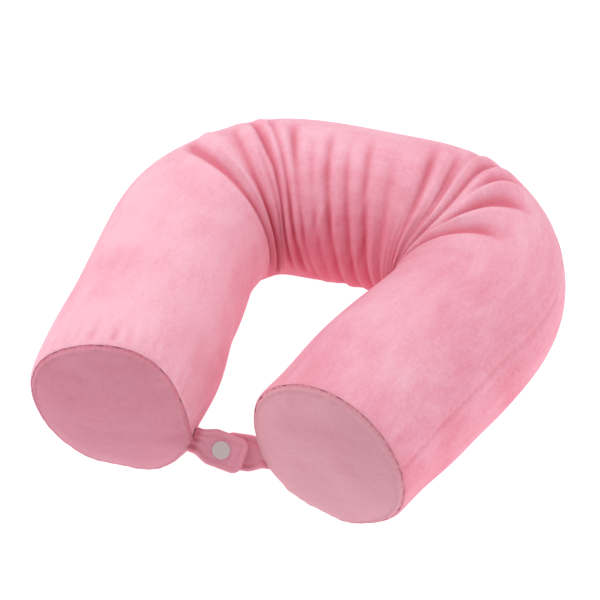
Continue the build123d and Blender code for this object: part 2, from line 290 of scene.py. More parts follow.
# painted shade: the ends' copy of the velour is darker than the sleeve's
END_SHADED_PALE = (0.74, 0.325, 0.405)
END_SHADED_DEEP = (0.62, 0.205, 0.28)
# painted light: the right end's copy of the velour is paler than the left's
END_LESS_SHADED_PALE = (0.76, 0.40, 0.465)
END_LESS_SHADED_DEEP = (0.66, 0.28, 0.345)
SHEEN = (1.0, 0.72, 0.80)
# the sleeve's painted light: 0.30 up the roll, 0.55 towards the left end
sleeve_velour = velour("sleeve_velour", SLEEVE_PALE, SLEEVE_DEEP, PAINTED_SHADE_COLOUR, SHEEN, 0.30, 0.55)
end_velour = velour("end_velour", END_SHADED_PALE, END_SHADED_DEEP, PAINTED_SHADE_COLOUR, SHEEN)
less_shaded_end_velour = velour("end_velour_brushed", END_LESS_SHADED_PALE, END_LESS_SHADED_DEEP, PAINTED_SHADE_COLOUR, SHEEN)
tab_velour = velour("tab_velour", TAB_PALE, TAB_DEEP, PAINTED_SHADE_COLOUR, SHEEN)

# %% [markdown]
# ## The line through the roll
# The joints' own places give the line that the core lies on: straight arms with bends between them.
# The foam and the cover don't follow its corners exactly. They take a rounder way, so the line is
# smoothed, and it leans outwards a little where the soft roll bulges off the core.

# %% Centreline
lift_left = joints["left_arm_lift"]
twist_right = joints["right_arm_twist"]
UP = Vector((0, 0, 1))
LEFT_JOINTS = ("left_arm_lift", "left_bend_4", "left_bend_5", "left_bend_6", "left_curl")
RIGHT_JOINTS = ("right_curl", "right_bend_9", "right_bend_10", "right_bend_11", "right_arm_twist")
ROLL_JOINTS = LEFT_JOINTS + RIGHT_JOINTS
balls = [Vector(joints[name]["pos_m"]) for name in ROLL_JOINTS]
PITCH = (balls[1] - balls[0]).length
ARM = 3 * PITCH
left_tip = balls[0] + UP.cross(Vector(lift_left["axis"])) * ARM
right_tip = balls[-1] + Vector(twist_right["axis"]) * ARM
knots = np.array([left_tip[:], *[b[:] for b in balls], right_tip[:]])[:, :2]
ball_places = [ARM + PITCH * k for k in range(len(balls))]
LENGTH = 2 * ARM + PITCH * (len(balls) - 1)
knot_places = np.array([0, *ball_places, LENGTH])
AXIS_HEIGHT = balls[0].z
ROUNDING = 0.016              # how far the roll rounds off the core's corners
CORE_ROUNDING = 0.005         # and how far the hole through the foam does
print("roll:", round(LENGTH, 3), "m long, axis at", round(AXIS_HEIGHT, 3))


def line_through_roll(rounding, leaning, step=0.001, spare=0.08):
    """Places, points and outward directions along the smoothed line, past both ends."""
    place = np.arange(-spare, LENGTH + spare + step / 2, step)
    before = knots[0] + (knots[0] - knots[1]) / ARM * spare
    after = knots[-1] + (knots[-1] - knots[-2]) / ARM * spare
    spots = np.vstack([before, knots, after])
    at = np.concatenate([[-spare], knot_places, [LENGTH + spare]])
    raw = np.stack([np.interp(place, at, spots[:, axis]) for axis in (0, 1)], 1)
    reach = np.arange(-3 * rounding, 3 * rounding + step / 2, step)
    weight = np.exp(-((reach / rounding) ** 2) / 2)
    weight /= weight.sum()
    pad = len(reach) // 2
    ends = [2 * raw[0] - raw[pad:0:-1], raw, 2 * raw[-1] - raw[-2 : -pad - 2 : -1]]
    long = np.vstack(ends)
    smooth = np.stack([np.convolve(long[:, axis], weight, "valid") for axis in (0, 1)], 1)
    along, out = directions(smooth)
    smooth = smooth + out * lean(place)[:, None] * leaning
    along, out = directions(smooth)
    return place, smooth, along, out


def directions(points):
    """Unit directions along a flat line, and out of the U at right angles to it."""
    along = np.gradient(points, axis=0)
    along /= np.linalg.norm(along, axis=1)[:, None]
    return along, np.stack([-along[:, 1], along[:, 0]], 1)


LEANS = ((0.185, 0.06, -0.002), (0.400, 0.075, 0.010))   # place, spread, outward shift


def lean(place):
    """How far the soft roll stands outwards of its core."""
    total = 0
    for centre, spread, shift in LEANS:
        total = total + shift * np.exp(-(((place - centre) / spread) ** 2))
    return total


roll_line = line_through_roll(ROUNDING, 1.0)
core_line = line_through_roll(CORE_ROUNDING, 0.0)


def on_line(place, line=roll_line):
    """Point, direction and outward direction of a line at each place."""
    parts = []
    for table in line[1:]:
        parts.append(np.stack([np.interp(place, line[0], table[:, axis]) for axis in (0, 1)], -1))
    return parts


print("line:", len(roll_line[0]), "points")

# %% [markdown]
# ## Folds in the cover
# On the inside of each bend the sleeve is too long for its way, so it gathers into folds that run
# from the inner corner up over the roll and die out on top. A fold is a line of a few
# points, each a place along the roll and an angle round it: 0 is the outside of the U, 90 the top and
# 180 the inside. Along the line the cloth stands up with a valley at each side, or sinks with a lip
# at each side where the height is negative. Folds are cut into the surface as numbers on a fine grid,
# which keeps every one at its own width.

# %% Fold lines
# (height mm, width mm, ((place mm, angle), ...))
FOLDS = (
    # left corner: a broad hollow, then a roll of cloth, then sharp pleats beside it
    (-1.4, 12, ((203, 40), (197, 75), (191, 105), (188, 140), (190, 200))),
    (-4.0, 5.0, ((204, 44), (197, 74), (194, 104), (194, 140), (199, 205))),
    (3.6, 5.5, ((213, 42), (204, 80), (202, 114), (208, 152), (222, 215))),
    (-2.6, 4.4, ((226, 54), (221, 88), (216, 130), (220, 165), (234, 220))),
    (2.6, 5.5, ((232, 56), (229, 90), (226, 130), (234, 168), (246, 220))),
    (-2.9, 3.0, ((235, 46), (238, 90), (243, 118), (251, 148), (266, 205))),
    (2.4, 3.4, ((239, 46), (243, 88), (248, 120), (257, 150), (273, 212))),
    (-2.4, 3.0, ((242, 50), (248, 90), (254, 122), (263, 152), (279, 212))),
    (2.8, 5.0, ((247, 56), (253, 93), (260, 126), (271, 156), (287, 212))),
    # back: soft upright folds, deeper towards the floor
    (-2.6, 4.8, ((258, 66), (266, 130), (276, 165), (290, 225))),
    (1.8, 5.0, ((265, 74), (274, 135), (284, 170), (296, 230))),
    (-1.0, 4.0, ((272, 88), (281, 138), (291, 172), (302, 230))),
    (0.8, 4.8, ((279, 80), (288, 138), (297, 172), (306, 230))),
    (-2.0, 4.6, ((284, 70), (294, 135), (303, 170), (311, 230))),
    (2.0, 5.0, ((291, 74), (301, 140), (311, 180), (317, 230))),
    (-1.1, 4.2, ((298, 92), (308, 132), (318, 170), (325, 230))),
    (0.9, 5.0, ((304, 78), (315, 135), (325, 176), (331, 230))),
    (-2.2, 4.8, ((311, 72), (322, 132), (333, 175), (339, 230))),
    (1.0, 6.0, ((320, 76), (331, 135), (341, 180), (347, 225))),
    (-0.9, 5.0, ((330, 90), (340, 132), (350, 175), (356, 225))),
    (0.8, 6.5, ((341, 82), (350, 132), (359, 175), (364, 225))),
    # right corner: a fan of pleats that meet at the inner corner
    (-2.7, 5.0, ((350, 66), (359, 100), (370, 135), (378, 210))),
    (2.4, 4.4, ((355, 58), (365, 92), (377, 122), (387, 212))),
    (-3.5, 3.3, ((360, 53), (369, 84), (379, 110), (391, 134), (398, 215))),
    (3.1, 3.8, ((364, 46), (372, 86), (383, 114), (396, 140), (403, 215))),
    (-3.8, 3.2, ((367, 40), (371, 72), (377, 96), (389, 121), (401, 147), (407, 215))),
    (3.2, 3.6, ((372, 38), (375, 78), (388, 108), (402, 134), (410, 215))),
    (-3.9, 3.2, ((378, 36), (380, 76), (387, 97), (401, 122), (410, 146), (414, 215))),
    (3.0, 3.4, ((383, 38), (383, 78), (392, 101), (405, 127), (416, 215))),
    (-3.0, 3.0, ((389, 42), (387, 78), (396, 101), (408, 127), (415, 152), (419, 215))),
    (3.4, 4.4, ((398, 44), (391, 78), (401, 103), (412, 130), (422, 215))),
    (-3.9, 3.6, ((409, 47), (397, 78), (407, 105), (416, 131), (423, 162), (426, 215))),
    (3.0, 5.4, ((418, 56), (409, 88), (413, 110), (421, 137), (430, 212))),
    (-3.0, 4.2, ((428, 68), (421, 94), (421, 115), (426, 138), (433, 168), (437, 210))),
    (2.0, 7.5, ((440, 75), (434, 98), (434, 120), (440, 150), (446, 205))),
)
FADE = 26                     # degrees over which a fold dies out at each end
OVERRUN = 4                   # degrees by which it runs past its last point
LIP = 1.9                     # the lips lie this many widths from the fold's line
LIP_WIDTH = 0.9               # in widths of the fold
LIP_SHARE = 0.34
RIDGE_POWER = 1.9             # a ridge is round on top
VALLEY_POWER = 1.25           # and a valley is sharp
print("folds:", len(FOLDS))


# %% Fold shapes
def ramp(value, low, high):
    """0 below low, 1 above high, and a smooth rise between them."""
    t = np.clip((value - low) / (high - low), 0, 1)
    return t * t * (3 - 2 * t)


def fold(place, angle, height, width, points):
    """Height of one fold over the grid, in millimetres."""
    spots = np.array(points, float)
    first, last = spots[0, 1], spots[-1, 1]
    curve = np.polyfit(spots[:, 1] / 90, spots[:, 0], min(3, len(points) - 1))
    line = np.polyval(curve, np.clip(angle, first, last) / 90)
    across = np.abs(place - line) / width
    shape = np.exp(-(across ** (RIDGE_POWER if height > 0 else VALLEY_POWER)))
    shape = shape - LIP_SHARE * np.exp(-(((across - LIP) / LIP_WIDTH) ** 2))
    fade = ramp(angle, first - OVERRUN, first + FADE) * (1 - ramp(angle, last - FADE, last + OVERRUN))
    return height * fade * shape


def small_wrinkles(place, angle, count=70):
    """Short fine wrinkles on the inside of the bends."""
    dice = np.random.default_rng(11)
    total = np.zeros(np.broadcast(place, angle).shape)
    for _ in range(count):
        middle = dice.uniform(182, 450)
        low = dice.uniform(95, 170)
        high = low + dice.uniform(30, 75)
        slant = dice.uniform(-7, 12)
        height = dice.choice((-1, 1)) * dice.uniform(0.25, 0.9)
        width = dice.uniform(1.8, 4.0)
        points = ((middle, low), (middle + slant, (low + high) / 2), (middle + 1.6 * slant, high))
        total += fold(place, angle, height, width, points)
    return total


def soft_lumps(place, angle):
    """Slow swells of the foam under the cloth."""
    dice = np.random.default_rng(4)
    total = np.zeros(np.broadcast(place, angle).shape)
    turn = np.radians(angle)
    for _ in range(14):
        waves = dice.integers(1, 5)
        pace = dice.uniform(0.03, 0.11)
        height = dice.uniform(0.1, 0.28)
        total += height * np.sin(place * pace + waves * turn + dice.uniform(0, 2 * pi))
    return total


print("fold shapes:", fold.__name__, small_wrinkles.__name__, soft_lumps.__name__)

# %% [markdown]
# ## The sleeve's surface
# One fine grid covers the whole sleeve: rings along the line, points round each ring. Each point
# starts on a circle round the line, is pushed in or out by the folds, and is pressed flat where the
# roll lies on the floor. Near each tab the cloth is drawn towards the tab's root.

# %% Sleeve grid
END_SWELL = (0.0012, 0.0024)  # left arm, right arm
RING_STEP = 0.001
ROUND_POINTS = 288
FLOOR_GAP = 0.0003
SEAM_ROLL = 0.005             # the sleeve turns in over this length at its rims
SEAM_TUCK = 0.0010

peel = joints["left_tab_peel"]
right_peel = joints["right_tab_peel"]
left_root = np.array(peel["pos_m"])
right_root = np.array(right_peel["pos_m"])
places = np.arange(0, LENGTH + RING_STEP / 2, RING_STEP)
angles = np.arange(ROUND_POINTS) * 2 * pi / ROUND_POINTS - pi / 2
start_angle = np.degrees(angles)[None, :]
round_angle = np.where(start_angle < -60, start_angle + 360, start_angle)
place_mm = (places / MM)[:, None]
print("rings:", len(places), "of", ROUND_POINTS, "points")


# %% Swells and rims
def roll_radius(place):
    """Radius of the roll, a little fuller towards its ends."""
    full = END_SWELL[0] * (1 - ramp(place, 0.02, 0.17)) + END_SWELL[1] * ramp(place, 0.44, 0.56)
    return RADIUS + full


# (place mm, spread, angle, spread, height mm): slow swells where the foam fills the cover out
BULGES = (
    (372, 38, 35, 55, 8.0),
    (430, 45, 10, 55, 4.5),
    (505, 62, 0, 60, 7.0),
    (28, 45, 15, 60, 3.0),
)
RIM_REACH = 26                # mm over which a rim's shape dies out along the sleeve
# (angle, spread, height mm): how each rim is drawn out of round
LEFT_RIM = ((156, 36, -9.0), (98, 32, 4.4), (0, 50, 1.0), (205, 25, -5.0), (255, 36, 3.0))
RIGHT_RIM = ((62, 44, 4.4), (228, 30, 4.0), (312, 36, -3.0))


def angle_bump(angle, centre, spread):
    """1 at an angle round the roll, falling off on both sides."""
    apart = (angle - centre + 180) % 360 - 180
    return np.exp(-((apart / spread) ** 2))


def fullness(place, angle):
    """The slow swells and the shapes of the two rims, in millimetres."""
    total = 0
    for middle, length, centre, spread, height in BULGES:
        along = np.exp(-(((place - middle) / length) ** 2))
        total = total + height * along * angle_bump(angle, centre, spread)
    for rim, near in ((LEFT_RIM, place), (RIGHT_RIM, LENGTH / MM - place)):
        reach = np.exp(-((np.maximum(near, 0) / RIM_REACH) ** 2))
        drawn = sum(height * angle_bump(angle, centre, spread) for centre, spread, height in rim)
        total = total + reach * drawn
    return total


full = fullness(place_mm, round_angle)
print("fullest swell:", round(float(full.max()), 1), "mm")

# %% Gathers at the rims
ZIP_ANGLE = 5.0
ZIP_START = 9.0
ZIP_END = 109.0
ZIP_MARGIN = 32               # degrees beside the zip that stay free of gathers
GATHER_WAVES = (19, 27, 33, 41)
GATHER_REACH = 15             # mm that the gathers run in from the rim
GATHER_EDGE = 4               # mm beside the seam that stays plain
LEFT_PULL = (90, 60)          # the angle where the thread pulls most, and its spread
RIGHT_PULL = (8, 38)


def rim_gathers(place, angle):
    """Short gathers that run in from each rim, deepest where the thread pulls most."""
    dice = np.random.default_rng(31)
    total = np.zeros(np.broadcast(place, angle).shape)
    clear_of_zip = 1 - angle_bump(angle, ZIP_ANGLE, ZIP_MARGIN)
    for near, window in ((place, LEFT_PULL), (LENGTH / MM - place, RIGHT_PULL)):
        waves = sum(np.sin(np.radians(angle) * k + dice.uniform(0, 6.28)) for k in GATHER_WAVES)
        depth = (0.10 + 0.34 * angle_bump(angle, *window)) * clear_of_zip
        run_in = np.exp(-((near / GATHER_REACH) ** 2))
        off_seam = 1 - np.exp(-((near / GATHER_EDGE) ** 2))
        total = total + waves * depth * run_in * off_seam
    return total


def rim_tuck(place):
    """How far the sleeve rolls in towards the seam at its two rims."""
    near = np.minimum(place, LENGTH - place)
    return SEAM_TUCK * (1 - np.sqrt(1 - (1 - np.clip(near / SEAM_ROLL, 0, 1)) ** 2))


# %% Relief of the whole sleeve
CLOSEST = 0.12                # the closest that the rings are taken to lie inside a bend
DEEPEST = -7.0                # mm
HIGHEST = 5.0

relief = sum(fold(place_mm, round_angle, *line) for line in FOLDS)
relief = relief + small_wrinkles(place_mm, round_angle) + soft_lumps(place_mm, round_angle)
relief = relief + rim_gathers(place_mm, round_angle)
_, heading, _ = on_line(places)
turning = np.gradient(np.unwrap(np.arctan2(heading[:, 1], heading[:, 0])), RING_STEP)
spacing = 1 - turning[:, None] * np.cos(angles)[None, :] * RADIUS
relief = np.clip(relief * np.clip(spacing, CLOSEST, 1) ** 0.5, DEEPEST, HIGHEST)
print("relief from", round(float(relief.min()), 1), "to", round(float(relief.max()), 1), "mm")

# %% Long seam and zip channel
SEAM_TURN = (5.0, 24.0)       # the long seam's angle at the zip, and along the right arm
ZIP_BED = 51.0                # mm from the roll's line to the floor of the zip's channel
seam_angle = SEAM_TURN[0] + (SEAM_TURN[1] - SEAM_TURN[0]) * ramp(place_mm, 120, 420)
across_seam = np.abs(round_angle - seam_angle) * pi / 180 * RADIUS / MM
seam_line = ramp(place_mm, ZIP_END, ZIP_END + 6)
relief = relief - seam_line * 0.40 * np.exp(-((across_seam / 1.3) ** 2))
relief = relief + seam_line * 0.22 * np.exp(-(((across_seam - 3.2) / 1.5) ** 2))
across_zip = np.abs(round_angle - ZIP_ANGLE) * pi / 180 * RADIUS / MM
along_zip = ramp(place_mm, ZIP_START - 2, ZIP_START + 1)
along_zip = along_zip * (1 - ramp(place_mm, ZIP_END - 1, ZIP_END + 2))
zip_floor = 1 - ramp(across_zip, 3.0, 4.4)
zip_lip = 0.7 * np.exp(-(((across_zip - 5.6) / 1.3) ** 2))
zip_depth = roll_radius(places)[:, None] / MM + full - ZIP_BED
relief = relief * (1 - along_zip * zip_floor) + along_zip * (zip_lip - zip_floor * zip_depth)
print("zip channel from", ZIP_START, "to", ZIP_END, "mm")

# %% Points of the sleeve
FLOOR_SOFTNESS = 0.0012       # how gradually the cloth meets the floor
LEFT_DRAW = 0.38              # share of the way that the cloth is drawn to a tab's root
RIGHT_DRAW = 0.30


def press_down(height):
    """Flattens what would sink below the floor into a narrow resting strip."""
    soft = FLOOR_SOFTNESS
    return FLOOR_GAP + 0.5 * (height + np.sqrt(height**2 + soft**2)) - 0.5 * soft * 0.2


def draw_to(points, target, pull, spread):
    """Draws points towards a target, most of all the ones nearest to it."""
    away = target - points
    distance = np.linalg.norm(away, axis=-1, keepdims=True)
    return points + away * pull * np.exp(-((distance / spread) ** 2))


def roll_surface(place, angle, radius, line=roll_line):
    """Points round a line at each place, for a grid of places and angles."""
    spot, _, out = on_line(place, line)
    flat = np.cos(angle) * radius
    x = spot[:, 0:1] + out[:, 0:1] * flat
    y = spot[:, 1:2] + out[:, 1:2] * flat
    z = AXIS_HEIGHT + np.sin(angle) * radius
    return np.stack([x, y, np.broadcast_to(z, x.shape)], -1)


sleeve_radius = (roll_radius(places) - rim_tuck(places))[:, None] + (relief + full) * MM
sleeve = roll_surface(places, angles[None, :], sleeve_radius)
sleeve[..., 2] = press_down(sleeve[..., 2])
sleeve = draw_to(sleeve, left_root, LEFT_DRAW, 0.017)
sleeve = draw_to(sleeve, right_root, RIGHT_DRAW, 0.015)
print("sleeve grid:", sleeve.shape[:2])


# %% Normals and painted crease shade of the grid
def grid_normals(points):
    """Outward normals of a grid that is closed round its second way."""
    along = np.gradient(points, axis=0)
    around = np.roll(points, -1, 1) - np.roll(points, 1, 1)
    normal = np.cross(around, along)
    return normal / np.maximum(np.linalg.norm(normal, axis=-1, keepdims=True), 1e-12)


def blurred(values, times):
    """A grid of values, smoothed along both ways."""
    for _ in range(times):
        values = (values + np.roll(values, 1, 1) + np.roll(values, -1, 1)) / 3
        padded = np.pad(values, ((1, 1), (0, 0)), mode="edge")
        values = (padded[:-2] + padded[1:-1] + padded[2:]) / 3
    return values


FULL_CREASE = 1.9             # mm below the cloth round it at which a crease has its full shade
BLURS = 30

sleeve_normal = grid_normals(sleeve)
# painted shade: darker where the cloth lies deeper than the cloth round it
crease = np.clip(-(relief - blurred(relief, BLURS)) / FULL_CREASE, 0, 1)
crease = crease * (1 - along_zip * (1 - ramp(across_zip, 8, 14)))
crease = blurred(crease, 1)
# a faint painted shade along the long seam
crease = crease + 0.12 * seam_line * np.exp(-((across_seam / 1.2) ** 2))
# painted shade on the inside of the U, along the bends
inner = ramp(round_angle, 105, 200) * (1 - ramp(round_angle, 235, 290))
shaded_bends = ramp(place_mm, 165, 225) * (1 - ramp(place_mm, 420, 480))
crease = np.clip(0.8 * crease + 0.62 * inner * shaded_bends, 0, 1)
cloth = np.stack(
    np.broadcast_arrays(
        places[:, None],
        np.cos(angles)[None, :] * RADIUS,
        np.sin(angles)[None, :] * RADIUS,
    ),
    -1,
)
print("deepest crease:", round(float(crease.max()), 2))

# %% [markdown]
# ## One piece for each joint
# The roll bends at ten balls. The grid is cut halfway between them, so each piece crosses one joint
# between two bodies, and the plain ends of the arms ride on the arms. The cut rings are the same
# points on both sides and share the whole grid's normals, so no cut shows. A piece between two
# bodies is baked where it lies, and its weights by the place along the roll are not used.


# %% Cutting a grid into pieces
def grid_faces(rings, count, flip=False):
    """Quads of a grid that is closed round its second way."""
    ring = np.arange(rings - 1)[:, None] * count
    at = np.arange(count)[None, :]
    after = (at + 1) % count
    corners = [ring + at, ring + after, ring + count + after, ring + count + at]
    if flip:
        corners.reverse()
    return np.stack(np.broadcast_arrays(*corners), -1).reshape(-1, 4)


def new_mesh(name, points, faces, normals=None, material=None, **attributes):
    """An object with this mesh, its material, and its point attributes."""
    mesh = bpy.data.meshes.new(name)
    points = np.asarray(points, float).reshape(-1, 3)
    mesh.from_pydata(points.tolist(), [], [list(map(int, face)) for face in faces])
    mesh.update()
    for label, values in attributes.items():
        values = np.asarray(values, np.float32)
        vector = values.ndim > 1 and values.shape[-1] == 3
        made = mesh.attributes.new(label, "FLOAT_VECTOR" if vector else "FLOAT", "POINT")
        made.data.foreach_set("vector" if vector else "value", values.reshape(-1))
    mesh.polygons.foreach_set("use_smooth", np.ones(len(mesh.polygons), bool))
    if normals is not None:
        mesh.normals_split_custom_set_from_vertices(normals.reshape(-1, 3).tolist())
    obj = bpy.data.objects.new(name, mesh)
    bpy.context.scene.collection.objects.link(obj)
    if material:
        mesh.materials.append(material)
    return obj


print("grid helpers:", grid_faces.__name__, new_mesh.__name__)


# %% The lengths of the roll
FIRST_BEND_LINK = 3           # links of the core are counted from 0 at the left tip
MIDDLE_LINK = 7
LAST_BEND_LINK = 11


def link_body(link):
    """Name of the body that a link of the core belongs to."""
    if link < FIRST_BEND_LINK:
        return "left_arm"
    if link > LAST_BEND_LINK:
        return "right_arm"
    return "back_middle" if link == MIDDLE_LINK else f"bend_{link + 1:02d}"


def spans():
    """Start, end, and the two bodies of each piece of the roll."""
    first = ARM - PITCH / 2
    found = [(0.0, first, "left_arm", None, "left_arm")]
    for number in range(len(balls)):
        start = first + number * PITCH
        bodies = link_body(number + FIRST_BEND_LINK - 1), link_body(number + FIRST_BEND_LINK)
        found.append((start, start + PITCH, *bodies, f"bend_{number + 1:02d}"))
    found.append((first + len(balls) * PITCH, LENGTH, "right_arm", None, "right_arm"))
    return found


def hang_on(obj, place, start, end, body, next_body):
    """Rides on one body; a piece between two is baked where it lies, and its weights go unused."""
    if next_body is None:
        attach(obj, body)
        return
    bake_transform(obj)
    weight = ramp(place, start, end).astype(np.float32)


def stand_for(kind, label):
    """Hides the frame's length that a piece stands for. The last bend has none of its own."""
    if label in ("left_arm", "right_arm"):
        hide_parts(f"{kind}_{label}")
    elif label != "bend_10":
        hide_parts(f"{kind}_bend_{int(label[-2:]) + FIRST_BEND_LINK:02d}")


print("lengths:", [label for *_, label in spans()])


# %% Cover pieces
def cut_rings(start, end):
    """Which rings of the grid lie between two places."""
    return slice(int(round(start / RING_STEP)), int(round(end / RING_STEP)) + 1)


def double_wall(outer, inner):
    """Points and faces of a closed tube wall between an outer and an inner grid."""
    rings, count = outer.shape[:2]
    total = rings * count
    faces = [grid_faces(rings, count), grid_faces(rings, count, flip=True) + total]
    at = np.arange(count)
    after = (at + 1) % count
    faces.append(np.stack([at, at + total, after + total, after], 1))
    last = (rings - 1) * count
    faces.append(np.stack([at, after, after + total, at + total], 1) + last)
    return np.stack([outer, inner]), np.concatenate(faces)


CLOTH_THICKNESS = 0.0012
sleeve_centre = roll_surface(places, angles[None, :], np.zeros((1, ROUND_POINTS)))
to_centre = sleeve_centre - sleeve
to_centre /= np.linalg.norm(to_centre, axis=-1, keepdims=True)
lining = sleeve + to_centre * CLOTH_THICKNESS

for start, end, body, next_body, label in spans():
    rings = cut_rings(start, end)
    wall, faces = double_wall(sleeve[rings], lining[rings])
    piece = new_mesh(
        "cover_sleeve_" + label,
        wall,
        faces,
        np.stack([sleeve_normal[rings], -sleeve_normal[rings]]),
        sleeve_velour,
        cloth=np.stack([cloth[rings]] * 2),
        crease=np.stack([crease[rings]] * 2),
    )
    hang_on(piece, np.tile(np.repeat(places[rings], ROUND_POINTS), 2), start, end, body, next_body)
    stand_for("cover", label)
print("cover pieces:", len(spans()))

# %% [markdown]
# ## The foam
# Under the cover lies one foam roll with a hole through its middle for the core. It is only seen
# through an open zip, but it carries the cover, so it is cut into the same lengths. Its hole
# follows the core's own line, and widens at both ends round its plates.

# %% Foam material
shop = Shop("foam_cells")
where = shop.node("ShaderNodeTexCoord").outputs["Object"]
cells = shop.node("ShaderNodeTexVoronoi", {}, {"Vector": where, "Scale": 900.0})
cell_size = Number(shop, cells.outputs["Distance"])
yellowing = shop.noise(where, 30, 3)
foam_colour = shop.mix(yellowing, (0.86, 0.79, 0.62), (0.93, 0.89, 0.78))
foam_finish = shop.finish(
    Base_Color=shop.mix((cell_size * 0.9).clamp(), (0.60, 0.52, 0.38), foam_colour),
    Roughness=0.95 - yellowing * 0.05,
    Normal=shop.bump(cell_size, 0.0006, 0.7),
)
print("foam:", foam_finish.name)

# %% Foam lengths
FOAM_RADIUS = 0.0462
HOLE_RADIUS = 0.0162
PLATE_ROOM = 0.0246
PLATE_END = 0.0150
FOAM_INSET = 0.0030
FOAM_EDGE = 0.004             # how far the foam's ends are rounded
PLATE_STEP = 0.0004           # the hole widens over this length
FOAM_POINTS = 72
foam_angles = np.arange(FOAM_POINTS) * 2 * pi / FOAM_POINTS


def foam_length(label, start, end, step=0.004):
    """A closed length of foam roll with its hole, and the place of each of its points."""
    low = max(start, FOAM_INSET)
    high = min(end, LENGTH - FOAM_INSET)
    marks = np.linspace(low, high, int(round((high - low) / step)) + 1)
    if low < PLATE_END:
        marks = np.sort(np.append(marks, [PLATE_END, PLATE_END + PLATE_STEP]))
    if high > LENGTH - PLATE_END:
        marks = np.sort(np.append(marks, [LENGTH - PLATE_END, LENGTH - PLATE_END - PLATE_STEP]))
    from_end = np.minimum(marks, LENGTH - marks)
    edge = FOAM_EDGE * ramp(FOAM_INSET + FOAM_EDGE - from_end, 0, FOAM_EDGE)
    outer_radius = np.repeat((FOAM_RADIUS - edge)[:, None], FOAM_POINTS, 1)
    near_end = from_end < PLATE_END + 0.0001
    hole = np.repeat(np.where(near_end, PLATE_ROOM, HOLE_RADIUS)[:, None], FOAM_POINTS, 1)
    outer = roll_surface(marks, foam_angles[None, :], outer_radius)
    inner = roll_surface(marks, foam_angles[None, :], hole, core_line)
    wall, faces = double_wall(outer, inner)
    foam = new_mesh("foam_roll_" + label, wall, faces, None, foam_finish)
    return foam, np.tile(np.repeat(marks, FOAM_POINTS), 2)


for start, end, body, next_body, label in spans():
    foam, along = foam_length(label, start, end)
    hang_on(foam, along, start, end, body, next_body)
    stand_for("foam", label)
print("foam lengths:", len(spans()), "- cloth over foam:", round(RADIUS - FOAM_RADIUS, 4))

# %% [markdown]
# ## The round ends
# Each end is a flat disc of velour that the foam pushes out a little. It is sewn to the sleeve all
# round, with the seam's edge standing up as a thin ridge just inside the rim. Rings of points from
# the rim to the middle follow that profile, and they share the sleeve's last ring, so the two meet.
# The disc is a single surface, with no wall behind it.

# %% Profile of an end disc
CROWN = 0.0140
CROWN_POWER = 2.9
RIDGE_HEIGHT = 0.0011
RIDGE_INSET = 0.0026
RIDGE_WIDTH = 0.0010
GROOVE_DEPTH = 0.0006
GROOVE_INSET = 0.0009         # the stitches lie this far in from the rim
GROOVE_WIDTH = 0.0006
PUCKER_HEIGHT = 0.00035
PUCKER_REACH = 0.10           # share of the radius


def disc_profile(share, radius):
    """How far the disc stands out at a share of its radius, with the ridge of its seam."""
    inset = (1 - share) * radius
    dome = CROWN * (1 - share**CROWN_POWER)
    groove = -GROOVE_DEPTH * np.exp(-(((inset - GROOVE_INSET) / GROOVE_WIDTH) ** 2))
    ridge = RIDGE_HEIGHT * np.exp(-(((inset - RIDGE_INSET) / RIDGE_WIDTH) ** 2))
    return dome + groove + ridge


def puckers(angle, share):
    """Small gathers that the thread draws in the disc beside the seam."""
    dice = np.random.default_rng(23)
    total = np.zeros(np.broadcast(angle, share).shape)
    for _ in range(9):
        pace = dice.integers(9, 46)
        total = total + dice.uniform(0.2, 0.5) * np.sin(pace * angle + dice.uniform(0, 2 * pi))
    inwards = 1 - share
    off_seam = 1 - np.exp(-((inwards / 0.01) ** 2))
    return total * PUCKER_HEIGHT * np.exp(-((inwards / PUCKER_REACH) ** 2)) * off_seam


print("disc crown:", CROWN, "m")

# %% End discs
DISC_RINGS = 56
RING_EASE = 1.35              # rings lie closer together towards the rim
HUB = 0.992                   # the last ring's way to the middle
BELLY = 0.0030                # how far the lower part of a disc sags out
BELLY_ANGLE = 262
BELLY_SPREAD = 46
STITCHES = 96
STITCH_WIDTH = 0.0007
PATTERN_SHIFT = 0.3           # keeps the discs' noise off the sleeve's


